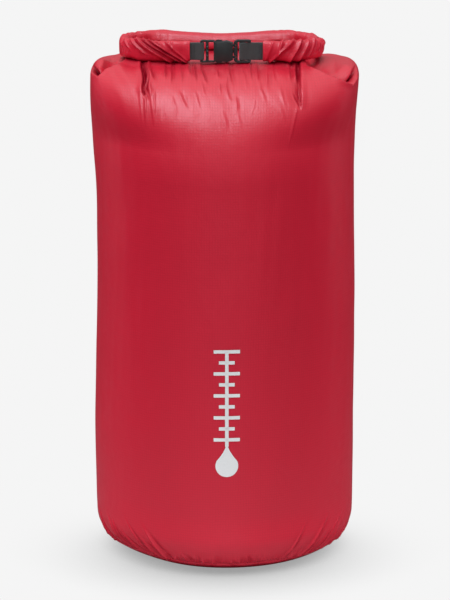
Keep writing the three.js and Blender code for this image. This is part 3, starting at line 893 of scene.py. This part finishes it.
strip = strip_piece("stiffening_strip", 12, RIGHT_SIDE)
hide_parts("stiffener_left", "stiffener_rear", "stiffener_right")
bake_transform(strip)
strip_tip = strip_piece("stiffening_strip_tip", RIGHT_SIDE - 1, COLLAR_END - 12)
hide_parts("stiffener_right_end")
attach(strip_tip, "carry_loop")
BEND_EDGE_X * MM
1 - TRAVEL / (BEND_EDGE_X - RIGHT_END_X)
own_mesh(strip_tip)


# ---------------- the straps
WEB_W, WEB_T = 20, 1.25


def strap(name, route, body):
    """A flat strap, upright, along a route of (x, y) points."""
    route = np.array(route, float)
    along = length_along(route)
    count = int(along[-1] / 0.5)
    s = np.linspace(0, along[-1], count)
    path = np.stack([np.interp(s, along, route[:, k]) for k in (0, 1)], -1)
    # Its bends are eased by a running mean of five points.
    kernel = np.ones(5) / 5
    path[2:-2] = np.stack([np.convolve(path[:, k], kernel, "valid") for k in (0, 1)], -1)
    tangent = normalise(np.gradient(path, axis=0))
    normal = np.stack([tangent[:, 1], -tangent[:, 0]], -1)
    # Its section: two rounded edges, and points along the flat between them.
    corner = WEB_T / 2
    edges = []
    for side, centre_z in ((1, WEB_W / 2 - corner), (-1, -WEB_W / 2 + corner)):
        for angle in np.linspace(0, math.pi, 7):
            edges.append((corner * math.cos(angle) * side, centre_z + corner * math.sin(angle) * side))
    middle = [(-corner, z) for z in np.linspace(WEB_W / 2 - 2, -WEB_W / 2 + 2, 12)]
    other = [(corner, -z) for _, z in middle]
    section = np.array(edges[:7] + middle + edges[7:] + other)
    points = np.zeros((count, len(section), 3))
    points[..., 0] = path[:, None, 0] + normal[:, None, 0] * section[None, :, 0]
    points[..., 1] = path[:, None, 1] + normal[:, None, 1] * section[None, :, 0]
    points[..., 2] = ROLL_Z + section[None, :, 1]
    uv = np.stack(np.broadcast_arrays(s[:, None], section[None, :, 1]), -1).reshape(-1, 2)
    piece = make_mesh(name, points.reshape(-1, 3), tube_faces(count, len(section)), uv, webbing)
    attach(piece, body)
    return piece


def round_bar(tail_x, bar_x):
    """Out from the tail, round a bar and back, with the two layers together where they are sewn."""
    side = 1 if bar_x > tail_x else -1
    lay = WEB_T / 2 + 0.05
    sewn_x = bar_x - side * (BAR_LOOP_R + 4.5)
    route = [(tail_x, FRONT_Y + lay), (sewn_x, FRONT_Y + lay)]
    for turn in np.linspace(-QUARTER, QUARTER, 24):
        route.append((bar_x + side * BAR_LOOP_R * math.cos(turn), FRONT_Y - BAR_LOOP_R * math.sin(turn)))
    route += [(sewn_x, FRONT_Y - lay), (tail_x, FRONT_Y - lay)]
    return route


# The buckle's bars, where the CAD has them: the two that the straps go round, and the one with the teeth.
SOCKET_BAR_X, PLUG_BAR_X, TOOTH_BAR_X = -26.3, 19.1, -19.9
BAR_LOOP_R = 2.5
left_strap = strap("strap_left", round_bar(LEFT_END_X - 6, SOCKET_BAR_X), "carry_loop")
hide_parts("webbing_left")
right_strap = strap("strap_right", round_bar(RIGHT_END_X + 6, PLUG_BAR_X), "plug_half")
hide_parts("webbing_right")


# ---------------- the buckle
def softened(name, source, body, voxel, crown=None):
    """A moulded piece: the design's shape, with its faces crowned and its edges rounded off."""
    mesh = frame["nodes"][source].data.copy()
    mesh.name = name
    piece = new_object(name, mesh)
    remesh = piece.modifiers.new("remesh", "REMESH")
    remesh.mode = "VOXEL"
    remesh.voxel_size = voxel * MM * (1 if FINE else 1.5)
    relax = piece.modifiers.new("relax", "SMOOTH")
    relax.factor = 0.5
    relax.iterations = 4
    graph = bpy.context.evaluated_depsgraph_get()
    shaped = bpy.data.meshes.new_from_object(piece.evaluated_get(graph))
    piece.modifiers.clear()
    piece.data = shaped
    if crown:
        points = np.zeros(len(shaped.vertices) * 3)
        shaped.vertices.foreach_get("co", points)
        points = points.reshape(-1, 3)
        points[:, 1] += crown(points / MM) * MM
        shaped.vertices.foreach_set("co", points.ravel())
    shaped.polygons.foreach_set("use_smooth", [True] * len(shaped.polygons))
    shaped.materials.clear()
    shaped.materials.append(buckle_plastic)
    shaped.update()
    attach(piece, body)
    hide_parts(source)


def socket_crown(points):
    """The socket's two faces swell towards the middle and thin out at the mouth."""
    out = points[:, 1] - FRONT_Y
    z = np.abs(points[:, 2] - ROLL_Z)
    along = smooth(points[:, 0], -13, -8) * (1 - 0.75 * smooth(points[:, 0], 0, 9.5))
    swell = along * (1.1 - 1.5 * (z / 11.4) ** 2)
    return np.sign(out) * smooth(np.abs(out), 3.0, 3.6) * swell


softened("buckle_socket_shell", "buckle_socket", "carry_loop", 0.24, socket_crown)
softened("buckle_plug_frame", "buckle_plug", "plug_half", 0.24)
softened("buckle_prong_upper", "prong_upper", "upper_prong", 0.2)
softened("buckle_prong_lower", "prong_lower", "lower_prong", 0.2)


def buckle_teeth():
    """Three rounded studs on the socket's middle bar, which grip the strap."""
    stud_r, stud_height = 1.25, 1.3
    grids = []
    for dz in (-5, 0, 5):
        turn, rise = np.meshgrid(np.linspace(0, 2 * math.pi, 25), np.linspace(0, QUARTER, 9))
        x = TOOTH_BAR_X + stud_r * np.cos(rise) * np.cos(turn)
        z = ROLL_Z + dz + stud_r * np.cos(rise) * np.sin(turn)
        y = FRONT_Y - 2.0 - stud_height * np.sin(rise)
        grids.append(np.stack([x, y, z], -1))
    teeth = merged("buckle_teeth", grids, buckle_plastic)
    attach(teeth, "carry_loop")


# ---------------- the print and the seams
PRINT_LIFT = 0.25


def on_front(x, z):
    """Points of the print, at a distance x round from the front's middle and at a height z."""
    return skin(FRONT + x / BODY_R, length_at(z), PRINT_LIFT)


def print_shapes():
    """Grids of (x, z) that cover the print: a drop, its spine, and bars that are long and short in turn."""
    middle = (PRINT_LOW[0] + PRINT_HIGH[0]) / 2
    half = (PRINT_HIGH[0] - PRINT_LOW[0]) / 2
    low, high = PRINT_LOW[2], PRINT_HIGH[2]
    bars, bar_height, drop_r, spine_half = 9, 4, 13, 2
    drop_z = low + drop_r
    drop_top = drop_z + 2.2 * drop_r
    pitch = (high - bar_height - drop_top) / (bars - 1)

    def rectangle(x0, x1, z0, z1, columns, rows):
        return np.meshgrid(np.linspace(x0, x1, columns), np.linspace(z0, z1, rows))

    shapes = [rectangle(middle - spine_half, middle + spine_half, drop_top - 6, high, 4, 60)]
    for i in range(bars):
        reach = half * (0.6 if i % 2 else 1)
        top = high - i * pitch
        shapes.append(rectangle(middle - reach, middle + reach, top - bar_height, top, 18, 4))
    share, z = np.meshgrid(np.linspace(-1, 1, 15), np.linspace(low + 0.02, drop_top, 60))
    round_part = np.sqrt(np.clip(drop_r**2 - (z - drop_z) ** 2, 0, None))
    joint = 0.5  # the angle on the round part where the taper starts
    joint_z = drop_z + drop_r * math.sin(joint)
    t = np.clip((z - joint_z) / (drop_top - joint_z), 0, 1)
    taper = drop_r * math.cos(joint) * (1 - t) ** 1.7
    shapes.append((middle + share * np.where(z > joint_z, taper, round_part), z))
    return shapes


mark = merged("front_print", [on_front(x, z) for x, z in print_shapes()], print_ink)
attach(mark, "bag")
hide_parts("printed_mark")


STITCH_R = 0.3


def stitch_row(places, along, out, length):
    """Small rounded stitches: each lies along its own direction, half sunk in the cloth."""
    grids = []
    shares = np.linspace(-1, 1, 5)
    turns = np.linspace(0, math.pi, 5)
    for place, forward, outward, sideways in zip(places, along, out, np.cross(out, along)):
        rows = []
        for share in shares:
            thick = STITCH_R * math.sqrt(max(0.05, 1 - share**2))
            middle = place + forward * share * length / 2
            rows.append([middle + (sideways * math.cos(t) + outward * math.sin(t)) * thick for t in turns])
        grids.append(np.array(rows))
    return grids


def rear_seam():
    """A lapped seam up the back, with its two rows of stitches."""
    half_width = (SEAM_HIGH[0] - SEAM_LOW[0]) / 2
    low, high = length_at(SEAM_LOW[2]), length_at(SEAM_HIGH[2])
    across = np.array([-1.0, -0.97, -0.9, -0.5, 0, 0.5, 0.9, 0.97, 1.0])
    lift = np.array([-0.4, 0.3, 0.75, 0.8, 0.8, 0.8, 0.75, 0.3, -0.4])
    lengths = np.linspace(low, high, 300)
    puckers = 0.25 * value_noise(lengths / 7, 71)[:, None] * (1 - np.abs(across) ** 4)
    lap = cloth_patch("rear_lap", BACK + across * half_width / BODY_R, lengths, bag_cloth, lift + puckers)
    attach(lap, "bag")
    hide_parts("rear_seam_lap")
    grids = []
    for share in (-0.68, 0.68):
        at = np.arange(low + 2, high - 2, 3.2)
        turn = np.full(len(at), BACK + share * half_width / BODY_R)
        places = skin(turn, at, 0.85)
        along = normalise(skin(turn, at + 1) - skin(turn, at - 1))
        grids += stitch_row(places, along, filled_normal(turn, at), 2.3)
    stitches = merged("rear_stitches", grids, red_thread)
    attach(stitches, "bag")


def base_stitches():
    """The row of stitches that holds the base to the tube."""
    count = 250
    turn = np.linspace(-math.pi, math.pi, count, endpoint=False)
    at = np.full(count, BASE_SEAM_LENGTH + 3.5)
    places = skin(turn, at, 0.05)
    along = normalise(skin(turn + 0.01, at) - skin(turn - 0.01, at))
    grids = stitch_row(places, along, filled_normal(turn, at), 2.2)
    stitches = merged("base_stitches", grids, red_thread)
    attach(stitches, "bag")


rear_seam()
base_stitches()
buckle_teeth()


# ---------------- camera, floor and light
def aim(thing, target):
    thing.rotation_euler = (Vector(target) - thing.location).to_track_quat("-Z", "Y").to_euler()


def camera():
    data = bpy.data.cameras.new("camera")
    eye = new_object("camera", data)
    distance, elevation = 4.3, math.radians(13)
    target = (0.0002, 0, 0.2885)
    eye.location = (target[0], -distance * math.cos(elevation), target[2] + distance * math.sin(elevation))
    aim(eye, target)
    data.sensor_width = 36
    data.lens = 222
    data.clip_end = 50
    bpy.context.scene.camera = eye


STUDIO_LIGHT = (0.98, 1.0, 1.14)  # slightly cool


def area_light(name, place, target, size, power, mirrored=True):
    """A soft box; one that isn't mirrored gives no highlight of its own."""
    data = bpy.data.lights.new(name, "AREA")
    data.shape = "RECTANGLE"
    data.size, data.size_y = size
    data.energy = power
    data.color = STUDIO_LIGHT
    lamp = new_object(name, data)
    lamp.location = place
    lamp.visible_glossy = mirrored
    lamp.visible_camera = False
    aim(lamp, target)


BACKDROP = opaque((0.913,) * 3)  # how pale the floor and the backdrop look


def floor():
    """A plain pale disc that fades into the backdrop, with a painted soft shadow that falls before the bag.
    """
    turns = np.linspace(0, 2 * math.pi, 96, endpoint=False)
    plane = make_mesh("floor", [(900 * math.cos(t), 900 * math.sin(t), 0) for t in turns], [list(range(96))])
    material, tree, inputs = shader("floor")
    rays = node(tree, "ShaderNodeLightPath").outputs
    # It lights the bag from below, but is mirrored only faintly.
    feed(inputs["Base Color"], Signal(rays["Is Diffuse Ray"]) * 0.6 + 0.1)
    feed(inputs["Roughness"], 1.0)
    feed(inputs["Specular IOR Level"], 0.0)
    # Painted shadow: to the camera the floor glows in the backdrop's tone, dimmed where the bag hems it in;
    # the test leans back towards the bag, so the shade falls mostly before it.
    backwards = node(tree, "ShaderNodeCombineXYZ", {0: 0.0, 1: 0.72, 2: 0.69}).outputs[0]
    shadow = (1.0 - open_share(tree, 0.125, 16, Normal=backwards)) ** 1.8
    seen = node(tree, "ShaderNodeEmission", {"Color": BACKDROP, "Strength": 1.0 - shadow * 0.85}).outputs[0]
    lit = tree.nodes["Principled BSDF"].outputs[0]
    looks = node(tree, "ShaderNodeMixShader", {0: rays["Is Camera Ray"], 1: lit, 2: seen}).outputs[0]
    place = node(tree, "ShaderNodeTexCoord").outputs["Object"]
    distance = Signal(node(tree, "ShaderNodeVectorMath", {0: place}, operation="LENGTH").outputs["Value"])
    fade = ((0.85 - distance) / 0.55).clamped()  # from 0.3 m out to 0.85 m
    clear = node(tree, "ShaderNodeBsdfTransparent").outputs[0]
    faded = node(tree, "ShaderNodeMixShader", {0: fade, 1: clear, 2: looks}).outputs[0]
    feed(tree.nodes["Material Output"].inputs["Surface"], faded)
    plane.data.materials.append(material)


def world():
    """Bright overhead, faint before and behind the bag, dark at its sides; the camera sees one pale tone."""
    made = bpy.data.worlds.new("studio")
    made.use_nodes = True
    tree = made.node_tree
    direction = node(tree, "ShaderNodeTexCoord").outputs["Generated"]
    _, away, up = (Signal(part) for part in node(tree, "ShaderNodeSeparateXYZ", {0: direction}).outputs)
    overhead = maths("MAXIMUM", up, 0.0) ** 1.5
    before = maths("MAXIMUM", away * -1.0, 0.0) ** 3.0
    behind = maths("MAXIMUM", away, 0.0) ** 14.0
    felt = overhead * 1.05 + 0.04 + before * 0.09 + behind * 0.06
    camera_ray = Signal(node(tree, "ShaderNodeLightPath").outputs["Is Camera Ray"])
    feed(tree.nodes["Background"].inputs["Color"], mix_colour(camera_ray, felt, BACKDROP))
    bpy.context.scene.world = made


camera()
floor()
world()
area_light("key", (-0.38, -0.86, 2.16), (-0.02, -0.1, 0.52), (1.0, 1.15), 24)
area_light("front_fill", (0.2, -3.2, 0.45), (0, 0, 0.25), (2.0, 0.8), 30, mirrored=False)
area_light("left_side", (-1.6, 0.7, 0.7), (0, 0, 0.3), (0.6, 1.6), 20, mirrored=False)
area_light("right_side", (1.6, 0.7, 0.7), (0, 0, 0.3), (0.6, 1.6), 20, mirrored=False)
bpy.context.scene.view_settings.view_transform = "Standard"

for name in ("bar_tack_left", "bar_tack_right"):
    cad = frame["nodes"][name]
    cad.data.materials.clear()
    cad.data.materials.append(thread)
